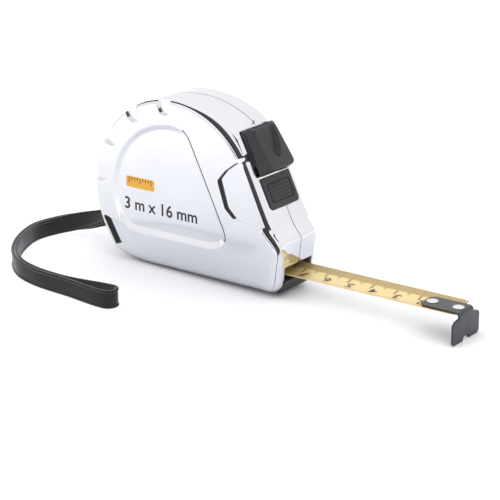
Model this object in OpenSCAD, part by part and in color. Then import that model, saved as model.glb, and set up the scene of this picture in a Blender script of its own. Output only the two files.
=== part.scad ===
// Pocket tape measure with a clamshell case, a thumb lock on the front slope,
// a spring-wound reel, a hooked steel blade and a folded wrist strap.
// Millimetres. X points along the drawn blade, Z up, the base lies on Z = 0,
// and the two case halves part on the plane Y = 0.

/* [Case] */
// Radius of the round back of the case sides
rim_r = 37.5; // [36:0.5:45]
// Height of the centre of that round above the base
rim_z = 29.3; // [29:0.1:33]
// Wall thickness of the two halves
wall = 2; // [1.6:0.1:2.4]
// Lean of the front slope, from vertical
slope_a = 26; // [20:0.1:32]
// How far the nose stands forward of the front slope
nose_reach = 8.2; // [7:0.1:10]
// Height of the raised spine over the front slope
spine_rise = 3.15; // [2.5:0.05:4]
// Extra radius of the crown over the round back
crown_grow = 5.8; // [5:0.1:7]
// Clear space from the reel to each side wall
side_gap = 1.8; // [1.4:0.1:4]

/* [Blade] */
// Width of the steel blade, measured flat
blade_w = 16; // [12.5:0.1:20]
// Thickness of the coated blade
blade_t = 0.2; // [0.15:0.01:0.25]
// Depth of the blade's hollow, from its edges to its middle
blade_cup = 1.7; // [1.2:0.1:2.2]
// Height of the blade's edges above the base
blade_z = 7.94; // [7.5:0.01:9]
// Length of the straight blade left inside the nose
blade_in = 8.7; // [8:0.1:10]

/* [Hook] */
// Width of the face plate
hook_w = 18.4; // [16:0.2:22]
// Height of the face plate below the strap
hook_drop = 11.2; // [8:0.1:12]
// Length of the strap that lies on the blade
hook_strap_l = 16; // [15.5:0.5:20]
// Thickness of the hook's sheet metal
hook_t = 0.8; // [0.6:0.1:1]
// Free play each way that evens out inside and outside readings
hook_play = 0.5; // [0.3:0.1:0.7]

/* [Reel] */
// Outer radius of the reel's flanges
flange_r = 23.5; // [21.5:0.5:24]
// Outer radius of the spring barrel
barrel_r = 14.5; // [12:0.5:16]
// Outer radius of the wound blade
coil_r = 19.9; // [17:0.1:21]
// Radius of the fixed centre post
post_r = 4; // [3:0.1:5]
// Turns drawn in the power spring
spring_turns = 9; // [5:1:12]

/* [Lock] */
// Width of the thumb button
button_w = 15.6; // [13:0.2:16]
// Length of the thumb button along the slope
button_l = 18.6; // [16:0.2:20]
// Height of the button's upper end over the deck
button_h = 3.5; // [3:0.1:5]
// Travel of the button down the slope
button_travel = 4; // [3:0.1:4.5]
// Radius of the lever pin
pin_r = 1.2; // [1:0.05:1.5]

/* [Strap] */
// Width of the wrist strap
strap_w = 7; // [5:0.1:9]
// Thickness of the two strap layers together
strap_t = 3; // [2.4:0.2:3.6]
// Radius of the steel bar that holds the strap
bar_r = 1; // [0.8:0.1:1.3]

/* [Hidden] */
$fn = 96;
eps = 0.01;
run_gap = 0.06;      // radial clearance of a running fit
fit_gap = 0.3;       // clearance round sliding mouldings
far_off = 200;       // larger than the whole object

// Widths, from the blade outwards
flange_gap = 0.4;
flange_t = 0.8;
flange_y = blade_w / 2 + flange_gap;
inner_y = flange_y + flange_t + side_gap;
side_y = inner_y + wall;
spine_y = side_y - 1.5;
spine_in = spine_y - wall - 1;
mouth_y = blade_w / 2 + 0.6;
guard_y = mouth_y + 0.2;

// Front slope: nx, nz point out of it, and the deck runs over it
rim_x = -6.8;
nx = cos(slope_a);
nz = sin(slope_a);
knee_z = 27;
knee_x = rim_x + (rim_r - (knee_z - rim_z) * nz) / nx;
nose_x = knee_x + nose_reach;
deck_up = 14.4;
deck_x = rim_x + (rim_r + spine_rise) * nx - deck_up * nz;
deck_z = rim_z + (rim_r + spine_rise) * nz + deck_up * nx;

// Blade and mouth
blade_chord = blade_w - 0.5;
blade_round = (pow(blade_chord / 2, 2) + pow(blade_cup, 2)) / (2 * blade_cup);
blade_mid = blade_z - blade_cup;
mouth_lo = blade_mid - 1;
mouth_hi = blade_z + 2.6;
channel_x = rim_x - sqrt(pow(rim_r - wall, 2) - pow(rim_z - blade_z, 2));
blade_end_gap = 1.4;
blade_out = nose_x - channel_x - blade_in - blade_end_gap;
hook_x = nose_x + blade_out;
blade_x0 = nose_x - blade_in;
blade_x1 = hook_x - hook_play;

// Hook: rivets behind the face, underside of the strap, half width of the neck
rivet_spots = [2.6, 13.1];
rivet_r = 1.1;
neck = 4.9;
strap_lo = blade_mid + blade_round - sqrt(pow(blade_round, 2) - pow(neck, 2)) + 0.02;

// Reel
reel_x = rim_x;
reel_z = rim_z + 6.7;
barrel_t = 1.3;
collar_r = post_r + 2;
collar_l = 2;

// Lock: pocket floor and lever, measured on the deck (n outward, u down the slope)
pocket_n = 3;
pocket_u = button_l + fit_gap;
plate_u0 = pocket_u + 0.3;
plate_l = 12.4;
plate_w = 18;
slot_u0 = 3.7;
stem_l = 5;
stem_w = 5.2;
slider_n = spine_rise + wall + fit_gap;
slider_t = 1.5;
rod_u = 22;
lever_x = knee_x - 6;
lever_z = knee_z - 6;
pin_y = inner_y - 1;
rod_n = -slider_n - slider_t / 2;
rod_x = deck_x + rod_n * nx + rod_u * nz;
rod_z = deck_z + rod_n * nz - rod_u * nx;
pad_x = nose_x - 7.7;
pad_l = 4;
pad_gap = 0.1;

// Screws: [x, z] about the reel
screw_spots = [[-20, 20], [-26, -19], [nose_x - reel_x - 22.5, -18.5], [16, 24]];
screw_r = 1.4;
boss_r = 3.6;
head_r = 2.6;

// Strap bar
bar_z = 12;
bar_x = rim_x - sqrt(pow(rim_r, 2) - pow(rim_z - bar_z, 2)) + bar_r + 0.9;
recess_h = strap_t + 2;
recess_y = strap_w / 2 + 0.7;
bar_y = recess_y + 3;

// Route of the wrist strap's middle line, from the bar to the folded end
strap_route = [[-38, 0, 12], [-44, 0, 11.5], [-50, 0, 10.3], [-58, -0.5, 8],
    [-66, -3, 6.1], [-71.5, -9, 4.9], [-73, -17, 4.6], [-70.5, -26, 4.6],
    [-65.5, -36, 4.4], [-58, -45.5, 4.3], [-49, -52, 4.1], [-39, -55, 3.9],
    [-28, -56.2, 3.9], [-16, -56.3, 3.9], [-5, -56, 3.9], [2, -55.6, 3.9]];
strap_steps = 3;

// ---------- helpers ----------

// A plate of the XZ outline given as children, from y0 to y1
module slab(y0, y1) {
    translate([0, y1, 0]) rotate([90, 0, 0]) linear_extrude(y1 - y0) children();
}

// A round bar along Y
module rod(x, z, r, y0, y1) {
    translate([x, y0, z]) rotate([-90, 0, 0]) cylinder(r = r, h = y1 - y0);
}

// Local frame on the deck: x outward, z up the slope, origin at the brow
module on_deck() {
    translate([deck_x, 0, deck_z]) rotate([0, -slope_a, 0]) children();
}

// A box on the deck, from n0 to n1 outward, u0 to u1 down the slope, half width y
module deck_box(n0, n1, u0, u1, y) {
    on_deck() translate([n0, -y, -u1]) cube([n1 - n0, 2 * y, u1 - u0]);
}

// Outline of the case sides, drawn in by i
module rim_outline(i) {
    intersection() {
        union() {
            translate([rim_x, rim_z]) circle(r = rim_r - i);
            polygon([[rim_x, rim_z],
                [rim_x + (rim_r - i) * nx, rim_z + (rim_r - i) * nz],
                [knee_x - i / nx, knee_z], [nose_x - 0.6 - i, 19.5],
                [nose_x - 0.6 - i, 3.5 + i], [nose_x - 4 - i, i],
                [-31.5 + i, i], [rim_x - rim_r * 0.73 + i, 3 + i]]);
        }
        translate([-far_off / 2, i]) square([far_off, far_off]);
    }
}

// Outline of the raised spine, drawn in by i
module spine_outline(i) {
    rim_outline(i);
    intersection() {
        translate([rim_x + 8.5, rim_z - 3.5]) circle(r = rim_r + crown_grow - i);
        translate([deck_x, deck_z]) rotate(slope_a) translate([-far_off, i])
            square([2 * far_off, far_off]);
        translate([-far_off / 2, rim_z]) square([far_off, far_off]);
    }
    polygon([[rim_x, rim_z], [deck_x - i / nx, deck_z],
        [knee_x + spine_rise / nx - i / nx, knee_z], [nose_x - 2.9 - i, 23.7],
        [nose_x - i, 20.8 - i / 2], [nose_x - i, 3 + i],
        [nose_x - 2 - i, i], [rim_x, i]]);
}

// Outline of the label recess on each side
module label_outline(i) {
    intersection() {
        translate([rim_x, rim_z]) circle(r = rim_r - 8.7 - i);
        translate([rim_x, rim_z]) rotate(slope_a)
            translate([18.6 - i - far_off, -far_off / 2]) square([far_off, far_off]);
        translate([-far_off / 2, 12.5 + i]) square([far_off, far_off]);
    }
}

// Outline of the finger recess on each side of the front
module finger_outline() {
    polygon([[knee_x - 20.8, 39.7], [knee_x - 17, 29], [knee_x - 11.1, 26.3],
        [knee_x - 2.2, 26.2], [knee_x - 11.5, 48.2], [knee_x - 17.1, 44.4]]);
}

// ---------- case ----------

// Solid case, both sides, before it is hollowed and parted
module case_block() {
    for (s = [[3.5, 0], [2, 0.6], [0, 2]])
        slab(-(spine_y - s[0]), spine_y - s[0]) spine_outline(s[1]);
    for (s = [[1.5, 0], [0.7, 0.8], [0, 2.4]])
        slab(-(side_y - s[0]), side_y - s[0]) rim_outline(s[1]);
}

// Grip notches round the back of the rim, on both sides
module rim_notches() {
    for (k = [0:3], side = [-1, 1])
        translate([rim_x, 0, rim_z]) rotate([0, -(95 + 26 * k), 0])
            translate([0, side * (spine_y + 1.2), 0]) {
                translate([rim_r - 2.9, -1, -3.1]) cube([10, 2, 6.2]);
                translate([rim_r - 2.9, 1, 0]) rotate([90, 0, 0]) cylinder(r = 3.1, h = 2);
            }
}

// Hollow for the works: wide behind the sides, narrower under the spine
module cavity() {
    difference() {
        union() {
            slab(-inner_y, inner_y) rim_outline(wall);
            slab(-spine_in, spine_in) spine_outline(wall);
        }
        deck_box(-(spine_rise + wall), 20, -wall, pocket_u + wall, far_off / 2);
        translate([-far_off / 2, -(recess_y + 1.4), bar_z - recess_h / 2 - 0.9])
            cube([far_off / 2 + bar_x + bar_r + 2.6, 2 * (recess_y + 1.4), recess_h + 1.8]);
        for (s = screw_spots) rod(reel_x + s[0], reel_z + s[1], boss_r, -side_y, side_y);
        for (side = [-1, 1]) {
            y0 = side > 0 ? flange_y + flange_t + fit_gap : -side_y;
            rod(reel_x, reel_z, collar_r, y0, y0 + side_y - flange_y - flange_t - fit_gap);
            y1 = side > 0 ? mouth_y - 1 : -side_y;
            rod(lever_x, lever_z, pin_r + 1.8, y1, y1 + side_y - mouth_y + 1);
        }
    }
}

// Everything that is cut through both halves
module case_cuts() {
    cavity();
    rim_notches();
    for (side = [-1, 1]) {
        y = side > 0 ? side_y - 0.5 : -side_y - 1;
        slab(y, y + 1.5) label_outline(0);
        slab(y, y + 1.5) finger_outline();
    }
    // mouth and the seat of the guard below it
    translate([nose_x - wall - 3, -mouth_y, mouth_lo])
        cube([wall + 6, 2 * mouth_y, mouth_hi - mouth_lo]);
    translate([nose_x - 8, -guard_y, -1]) cube([12, 2 * guard_y, mouth_lo + 1 + eps]);
    // button pocket, stem slot and the seat of the lock plate
    deck_box(-pocket_n, 20, -0.1, pocket_u, button_w / 2 + fit_gap);
    deck_box(-20, 1, slot_u0, slot_u0 + stem_l + button_travel + 2 * fit_gap,
        stem_w / 2 + fit_gap);
    deck_box(-1, 3, plate_u0, plate_u0 + plate_l, plate_w / 2);
    // strap recess with its bar, post sockets and lever pin sockets
    translate([-far_off / 2, -recess_y, bar_z - recess_h / 2])
        cube([far_off / 2 + bar_x + bar_r + 1.4, 2 * recess_y, recess_h]);
    rod(bar_x, bar_z, bar_r, -bar_y, bar_y);
    rod(reel_x, reel_z, post_r - 1.5, -(side_y - 1), side_y - 1);
    rod(lever_x, lever_z, pin_r, -pin_y, pin_y);
}

// Half of the case: side -1 is the near half, 1 the far half
module half(side) {
    intersection() {
        difference() {
            case_block();
            case_cuts();
        }
        translate([-far_off / 2, side > 0 ? 0 : -far_off, -far_off / 2])
            cube([far_off, far_off, far_off]);
    }
}

module near_shell() {
    color("gainsboro") difference() {
        half(-1);
        for (s = screw_spots)
            rod(reel_x + s[0], reel_z + s[1], screw_r, -(inner_y - 2), 1);
    }
}

module far_shell() {
    color("gainsboro") difference() {
        half(1);
        for (s = screw_spots) {
            rod(reel_x + s[0], reel_z + s[1], screw_r + 0.2, -1, side_y + 1);
            rod(reel_x + s[0], reel_z + s[1], head_r + 0.2, side_y - 3.4, side_y + 1);
        }
    }
}

module case_screws() {
    color("dimgray") for (s = screw_spots) difference() {
        union() {
            rod(reel_x + s[0], reel_z + s[1], screw_r, -(inner_y - 3), side_y - 3.4);
            rod(reel_x + s[0], reel_z + s[1], head_r, side_y - 3.4, side_y - 1.6);
        }
        translate([reel_x + s[0] - 1.6, side_y - 2.4, reel_z + s[1] - 0.3]) cube([3.2, 2, 0.6]);
        translate([reel_x + s[0] - 0.3, side_y - 2.4, reel_z + s[1] - 1.6]) cube([0.6, 2, 3.2]);
    }
}

// Dark guard under the mouth: its front leans in towards the base
module mouth_guard() {
    color("dimgray") difference() {
        slab(-guard_y, guard_y) polygon([[nose_x - 8, 0], [nose_x - 3.2, 0],
            [nose_x - 1.2, mouth_lo], [nose_x - 8, mouth_lo]]);
        translate([nose_x - 12, 0, blade_mid + blade_round - 0.6]) rotate([0, 90, 0])
            cylinder(r = blade_round, h = 20);
    }
}

module lock_plate() {
    color("dimgray") difference() {
        deck_box(-1, 0.2, plate_u0, plate_u0 + plate_l, plate_w / 2);
        for (k = [0:4]) deck_box(-0.1, 1, plate_u0 + 3.2 + 1.6 * k,
            plate_u0 + 3.9 + 1.6 * k, plate_w / 2 - 2.5);
    }
}

module centre_post() {
    color("silver") {
        rod(reel_x, reel_z, post_r, -(flange_y + flange_t + fit_gap),
            flange_y + flange_t + fit_gap);
        rod(reel_x, reel_z, post_r - 1.5, -(side_y - 1), side_y - 1);
    }
}

module lever_pin() {
    color("silver") rod(lever_x, lever_z, pin_r, -pin_y, pin_y);
}

module strap_bar() {
    color("silver") rod(bar_x, bar_z, bar_r, -bar_y, bar_y);
}

// ---------- reel ----------

// A flat ring along Y
module ring(r0, r1, y0, y1) {
    difference() {
        rod(reel_x, reel_z, r1, y0, y1);
        rod(reel_x, reel_z, r0, y0 - 1, y1 + 1);
    }
}

module reel_drum() {
    color("darkslategray") {
        ring(post_r + run_gap, flange_r, -(flange_y + flange_t), -flange_y);
        ring(post_r + run_gap, collar_r, -flange_y - eps, -(flange_y - collar_l));
        ring(barrel_r - barrel_t, barrel_r, -flange_y - eps, flange_y);
    }
}

module reel_lid() {
    color("darkslategray") {
        ring(post_r + run_gap, flange_r, flange_y, flange_y + flange_t);
        ring(post_r + run_gap, collar_r, flange_y - collar_l, flange_y + eps);
        ring(barrel_r - barrel_t - 1.1, barrel_r - barrel_t - 0.1, flange_y - 1.2, flange_y + eps);
    }
}

module blade_coil() {
    color("gold") ring(barrel_r, coil_r, -blade_w / 2, blade_w / 2);
}

// Flat spiral spring between the post and the barrel wall
function spiral(r, a) = [r * cos(a), r * sin(a)];
module power_spring() {
    t = 0.35;
    r0 = post_r + 0.35;
    r1 = barrel_r - barrel_t - t - 0.1;
    steps = spring_turns * 24;
    y = flange_y - collar_l - 0.6;
    color("steelblue") translate([reel_x, 0, reel_z]) slab(-y, y) polygon(concat(
        [for (k = [0:steps]) spiral(r0 + (r1 - r0) * k / steps, k * 15)],
        [for (k = [steps:-1:0]) spiral(r0 + t + (r1 - r0) * k / steps, k * 15)]));
}

module spring_washer() {
    color("white") ring(collar_r + 0.3, barrel_r - barrel_t - 1.3,
        flange_y - collar_l - 0.4, flange_y - collar_l);
}

// ---------- blade ----------

// Cross-section of the hollow blade, drawn in YZ and extruded along X
module blade_section() {
    intersection() {
        translate([0, blade_mid + blade_round]) difference() {
            circle(r = blade_round + blade_t, $fn = 360);
            circle(r = blade_round, $fn = 360);
        }
        translate([-blade_chord / 2, blade_mid - 1]) square([blade_chord, blade_cup + 1]);
    }
}

module blade() {
    color("gold") difference() {
        translate([blade_x0, 0, 0]) rotate([90, 0, 90])
            linear_extrude(blade_x1 - blade_x0) blade_section();
        for (side = [-1, 1]) translate([blade_x1, side * (blade_chord / 2), 0])
            rotate([0, 0, side * 45]) translate([-2, -2, 0]) cube([4, 4, 20]);
        for (x = rivet_spots) translate([hook_x - x, 0, 0]) cylinder(r = rivet_r, h = 20);
    }
}

// Stretch of blade between the coil and the straight strip
module blade_lead() {
    a = atan2(reel_z - coil_r - blade_z - 0.3, blade_x0 - 2.5 - reel_x);
    x1 = blade_x0 - 2.5;
    color("gold") slab(-blade_w / 2, blade_w / 2) polygon([
        [reel_x, reel_z - coil_r - 0.05 - blade_t], [reel_x, reel_z - coil_r - 0.05],
        [reel_x + 2, reel_z - coil_r - 0.05],
        [x1, blade_z + 0.35 + blade_t], [x1, blade_z + 0.35]]);
}

module hook_rivets() {
    color("silver") for (x = rivet_spots) translate([hook_x - x, 0, 0]) {
        translate([0, 0, blade_mid - blade_t - 0.5]) cylinder(r = 1.8, h = 0.5);
        translate([0, 0, blade_mid - blade_t]) cylinder(r = rivet_r,
            h = strap_lo + hook_t + 0.05 - blade_mid + blade_t);
        translate([0, 0, strap_lo + hook_t + 0.05]) cylinder(r = 2.1, h = 0.5);
    }
}

// Outline of the hook's face plate in YZ, with its nail notch
module hook_face() {
    top = strap_lo + hook_t;
    low = top - hook_drop;
    r = 1.6;
    difference() {
        union() {
            translate([-neck, top - 3]) square([2 * neck, 3]);
            polygon([[-neck, top - 2.2], [-hook_w / 2 + 0.4, top - 2.6], [-hook_w / 2, top - 3],
                [-hook_w / 2, low + r], [hook_w / 2, low + r], [hook_w / 2, top - 3],
                [hook_w / 2 - 0.4, top - 2.6], [neck, top - 2.2]]);
            for (side = [-1, 1]) translate([side * (hook_w / 2 - r), low + r]) circle(r = r);
            translate([-hook_w / 2 + r, low]) square([hook_w - 2 * r, r + eps]);
        }
        translate([0, low]) circle(r = 1.5);
    }
}

module end_hook() {
    color("dimgray") difference() {
        union() {
            translate([hook_x, 0, 0]) rotate([90, 0, 90]) linear_extrude(hook_t) hook_face();
            translate([hook_x - hook_strap_l, -neck, strap_lo])
                cube([hook_strap_l + eps, 2 * neck, hook_t]);
        }
        for (x = rivet_spots, d = [-hook_play, 0, hook_play])
            translate([hook_x - x + d, 0, strap_lo - 1]) cylinder(r = rivet_r + run_gap, h = hook_t + 2);
        for (side = [-1, 1]) translate([hook_x - hook_strap_l, side * neck, 0])
            rotate([0, 0, 45]) cube([2.4, 2.4, 30], center = true);
    }
}

// ---------- lock ----------

// Outline of the button on the deck, in n (outward) and z (up the slope)
module button_outline(drop) {
    polygon([[-drop, -fit_gap], [button_h - 0.6, -fit_gap], [button_h, -fit_gap - 1],
        [button_h + 0.9, -button_l + 0.8], [button_h + 0.3, -button_l], [0.45, -button_l],
        [0.45, -button_l + button_travel + 0.1], [-drop, -button_l + button_travel + 0.1]]);
}

module lock_button() {
    color("dimgray") {
        on_deck() difference() {
            rotate([90, 0, 0]) translate([0, 0, -button_w / 2]) linear_extrude(button_w)
                button_outline(pocket_n - fit_gap);
            translate([button_h + 2.2, 0, -6]) rotate([0, -4, 0]) cylinder(r = 4, h = 14, center = true);
        }
        deck_box(-slider_n, -1, slot_u0 + fit_gap, slot_u0 + fit_gap + stem_l, stem_w / 2);
    }
}

// Plate inside the case that carries the button's stem and the push rod
module lock_slider() {
    color("gray") {
        deck_box(-slider_n - slider_t, -slider_n, slot_u0 - 1.5, slot_u0 + stem_l + 4, 6);
        deck_box(-slider_n - slider_t, -slider_n, slot_u0 + stem_l, rod_u, 2);
    }
}

module brake_lever() {
    w = 1.3;
    y = 2.6;
    pad_top = blade_z + pad_gap + 2.6;
    color("silver") difference() {
        union() {
            rod(lever_x, lever_z, 2.8, -y, y);
            slab(-y, y) polygon([[rod_x - w, rod_z - 1.5], [rod_x + 0.6 * w, rod_z - 1.5],
                [lever_x + 2, lever_z + 1], [pad_x + 1.6, pad_top], [pad_x - 1.6, pad_top],
                [lever_x - 2, lever_z - 1]]);
            translate([pad_x - pad_l / 2, -mouth_y + 1, pad_top])
                cube([pad_l, 2 * mouth_y - 2, 1.2]);
        }
        rod(lever_x, lever_z, pin_r + run_gap, -y - 1, y + 1);
    }
}

// Rubber pad: two feet on the blade's edges, clear of the hook's strap between them
module brake_pad() {
    half_w = mouth_y - 1;
    color("black") difference() {
        translate([pad_x - pad_l / 2, -half_w, blade_z + pad_gap]) cube([pad_l, 2 * half_w, 2.6]);
        translate([pad_x - pad_l, -5.4, blade_z]) cube([2 * pad_l, 10.8, 1]);
    }
}

module lever_spring() {
    color("silver") {
        for (k = [0:3]) difference() {
            rod(lever_x, lever_z, pin_r + 1.2, 3 + 0.9 * k, 3.8 + 0.9 * k);
            rod(lever_x, lever_z, pin_r + 0.4, 2, 8);
        }
        rod(lever_x - pin_r - 0.8, lever_z, 0.35, 3, 6.5);
        translate([lever_x - pin_r - 0.8, 3.4, lever_z - 9]) cylinder(r = 0.35, h = 9);
        translate([lever_x + pin_r + 0.8, 6.1, lever_z]) cylinder(r = 0.35, h = 8);
    }
}

// ---------- wrist strap ----------

function spline(a, b, c, d, t) = 0.5 * (2 * b + (c - a) * t
    + (2 * a - 5 * b + 4 * c - d) * t * t + (3 * b - a - 3 * c + d) * t * t * t);
function route_point(p, k) = let (n = len(p) - 1, i = min(floor(k), n - 1), t = k - i)
    spline(p[max(i - 1, 0)], p[i], p[i + 1], p[min(i + 2, n)], t);
function route_turn(p, k) = let (n = len(p) - 1,
    d = route_point(p, min(k + 0.05, n)) - route_point(p, max(k - 0.05, 0))) atan2(d[1], d[0]);
// Roll of the band: flat at the bar, on edge once it lies on the ground
function roll(k) = 90 * (1 - min(1, max(0, (k - 0.5) / 4)));
section = let (a = strap_w / 2, b = strap_t / 2, c = 0.6) [[b, a - c], [b - c, a], [c - b, a],
    [-b, a - c], [-b, c - a], [c - b, -a], [b - c, -a], [b, c - a]];
function ring_points(p, k) = let (o = route_point(p, k), h = route_turn(p, k), r = roll(k))
    [for (q = section) let (s = q[0] * cos(r) - q[1] * sin(r), v = q[0] * sin(r) + q[1] * cos(r))
        o + [-s * sin(h), s * cos(h), v]];

module wrist_strap() {
    n = (len(strap_route) - 1) * strap_steps;
    m = len(section);
    points = [for (k = [0:n]) each ring_points(strap_route, k / strap_steps)];
    color("black") polyhedron(points, concat(
        [[for (j = [0:m - 1]) j]], [[for (j = [m - 1:-1:0]) n * m + j]],
        [for (k = [0:n - 1], j = [0:m - 1]) [k * m + j, (k + 1) * m + j,
            (k + 1) * m + (j + 1) % m, k * m + (j + 1) % m]]), convexity = 10);
}

near_shell();
far_shell();
mouth_guard();
lock_plate();
case_screws();
centre_post();
lever_pin();
strap_bar();
wrist_strap();
blade_lead();
reel_drum();
reel_lid();
blade_coil();
power_spring();
spring_washer();
blade();
hook_rivets();
end_hook();
lock_button();
lock_slider();
brake_lever();
brake_pad();
lever_spring();
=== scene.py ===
import math

import bmesh
import bpy
import numpy as np
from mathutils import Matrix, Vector


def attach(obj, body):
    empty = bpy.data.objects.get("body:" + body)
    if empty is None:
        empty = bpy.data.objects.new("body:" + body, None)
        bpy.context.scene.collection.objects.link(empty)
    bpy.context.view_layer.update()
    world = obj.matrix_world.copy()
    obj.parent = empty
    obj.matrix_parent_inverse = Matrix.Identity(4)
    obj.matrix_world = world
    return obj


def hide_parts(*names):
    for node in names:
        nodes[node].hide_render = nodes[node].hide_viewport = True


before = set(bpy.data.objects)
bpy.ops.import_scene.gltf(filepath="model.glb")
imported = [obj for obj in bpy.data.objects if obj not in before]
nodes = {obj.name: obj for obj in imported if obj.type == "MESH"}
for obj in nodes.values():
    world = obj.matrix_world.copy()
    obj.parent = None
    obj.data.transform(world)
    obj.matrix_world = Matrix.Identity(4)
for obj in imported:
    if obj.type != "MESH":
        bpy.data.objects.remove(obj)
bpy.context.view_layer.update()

MM = 0.001
scene = bpy.context.scene

# ---------------------------------------------------------------- sizes, in millimetres

# Case sides: circle of the rim, and the front slope that leans back from it
RIM_CENTRE = np.array([-6.8, 29.3])
RIM_R = 37.5
LEAN = math.radians(26)
OUT = np.array([math.cos(LEAN), math.sin(LEAN)])  # out of the front slope, in XZ
UP = np.array([-math.sin(LEAN), math.cos(LEAN)])  # up the front slope, in XZ
BASE_ROUND = 5.5
SIDE_Y, SPINE_Y, INNER_Y = 13.0, 11.9, 11.0
WALL = 2.0
PANEL_DEPTH = 0.9

# Raised spine between the sides: how far it stands out, its crown and its nose
RISE = 3.15
CROWN_CENTRE = np.array([-1.0, 26.4])
CROWN_R = 41.75
BROW = np.array([23.42, 60.06])
NOSE_X = 44.24
NOSE_LEAN, NOSE_LEAN_TOP = 0.12, 20.8
MOUTH_LO, MOUTH_HI, MOUTH_HALF = 5.24, 10.54, 8.6

# Screws and strap bar, in XZ
SCREWS = [(-26.8, 56.0), (-32.8, 17.0), (21.74, 17.5), (9.2, 60.0)]
BOSS_R, HEAD_R, SHANK_R = 3.6, 2.8, 1.6
BAR, BAR_R = (-38.17, 12.0), 1.0

# Thumb button and lock plate, measured down the slope from the brow
BUTTON_L, BUTTON_W, TRAVEL = 18.6, 18.4, 4.0
PLATE_U0, PLATE_U1, PLATE_HALF = 19.2, 31.6, 8.95

# Blade, hook and rivets
BLADE_X0, BLADE_X1 = 35.54, 112.3
BLADE_MID, HOLLOW_R, BLADE_T, BLADE_HALF = 6.24, 18.51, 0.2, 7.75
HOLLOW_Z = BLADE_MID + HOLLOW_R
HOOK_X, HOOK_T, HOOK_DROP = 113.54, 0.8, 11.2
STRAP_LO, NECK, FACE_HALF = 6.92, 4.9, 9.2
RIVET_SPOTS = (2.6, 13.1)

# Wrist strap: half the space between its two layers, and half of its folded end
LAYER_GAP, FOLD = 0.68, 3.2

# Floor: where it meets the base, and how much it falls along X
HEEL_X, FLOOR_FALL = -31, -0.0242


# ---------------------------------------------------------------- camera


def stand_camera():
    turn, rise = math.radians(35.91), math.radians(18.98)
    back = Vector(
        (math.sin(turn) * math.cos(rise), -math.cos(turn) * math.cos(rise), math.sin(rise))
    )
    lens = bpy.data.cameras.new("viewpoint")
    lens.lens, lens.sensor_width = 125.2, 36
    lens.clip_start, lens.clip_end = 0.02, 30
    eye = bpy.data.objects.new("viewpoint", lens)
    eye.location = Vector((20.7, 0, 10.78)) * MM + back * 0.6585
    eye.rotation_mode = "QUATERNION"
    eye.rotation_quaternion = (-back).to_track_quat("-Z", "Y")
    scene.collection.objects.link(eye)
    scene.camera = eye


stand_camera()

# ---------------------------------------------------------------- finishes


def effect_group(name, takes, gives):
    """A shader node group with named sockets, its input node and its output node."""
    group = bpy.data.node_groups.new(name, "ShaderNodeTree")
    for label, kind, start in takes:
        socket = group.interface.new_socket(label, in_out="INPUT", socket_type=kind)
        if start is not None:
            socket.default_value = start
    for label, kind in gives:
        group.interface.new_socket(label, in_out="OUTPUT", socket_type=kind)
    return group, group.nodes.new("NodeGroupInput"), group.nodes.new("NodeGroupOutput")


def feed(tree, socket, value):
    """Sets a socket to a number, or links it to another node's output."""
    if isinstance(value, (int, float)):
        socket.default_value = value
    else:
        tree.links.new(value, socket)


def noise_node(tree, vector, scale, detail):
    node = tree.nodes.new("ShaderNodeTexNoise")
    for label, value in (("Vector", vector), ("Scale", scale), ("Detail", detail),
                         ("Roughness", 0.55)):
        feed(tree, node.inputs[label], value)
    return node.outputs["Fac"]


def map_range(tree, value, low, high, to_low, to_high):
    node = tree.nodes.new("ShaderNodeMapRange")
    for label, v in (("Value", value), ("From Min", low), ("From Max", high),
                     ("To Min", to_low), ("To Max", to_high)):
        feed(tree, node.inputs[label], v)
    return node.outputs["Result"]


def make_handled_surface():
    """Soft smudges that change the gloss, and a fine grain for the bump."""
    group, given, made = effect_group(
        "handled_surface",
        [("Vector", "NodeSocketVector", None), ("Smudge Scale", "NodeSocketFloat", 60.0),
         ("Grain Scale", "NodeSocketFloat", 2500.0), ("Gloss Low", "NodeSocketFloat", 0.1),
         ("Gloss High", "NodeSocketFloat", 0.2)],
        [("Roughness", "NodeSocketFloat"), ("Mask", "NodeSocketFloat"),
         ("Grain", "NodeSocketFloat")],
    )
    vector = given.outputs["Vector"]
    smudge = noise_node(group, vector, given.outputs["Smudge Scale"], 4.0)
    mask = map_range(group, smudge, 0.35, 0.68, 0.0, 1.0)
    gloss = map_range(group, mask, 0.0, 1.0, given.outputs["Gloss Low"],
                      given.outputs["Gloss High"])
    grain = noise_node(group, vector, given.outputs["Grain Scale"], 2.0)
    group.links.new(gloss, made.inputs["Roughness"])
    group.links.new(mask, made.inputs["Mask"])
    group.links.new(grain, made.inputs["Grain"])
    return group


def make_brushed_lines():
    """Long fine lines along X, as left by a rolling mill or a brush."""
    group, given, made = effect_group(
        "brushed_lines",
        [("Vector", "NodeSocketVector", None), ("Line Scale", "NodeSocketFloat", 1500.0)],
        [("Lines", "NodeSocketFloat")],
    )
    stretch = group.nodes.new("ShaderNodeVectorMath")
    stretch.operation = "MULTIPLY"
    stretch.inputs[1].default_value = (0.02, 1.0, 1.0)
    group.links.new(given.outputs["Vector"], stretch.inputs[0])
    lines = noise_node(group, stretch.outputs[0], given.outputs["Line Scale"], 2.0)
    group.links.new(lines, made.inputs["Lines"])
    return group


HANDLED = make_handled_surface()
BRUSHED = make_brushed_lines()


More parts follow.
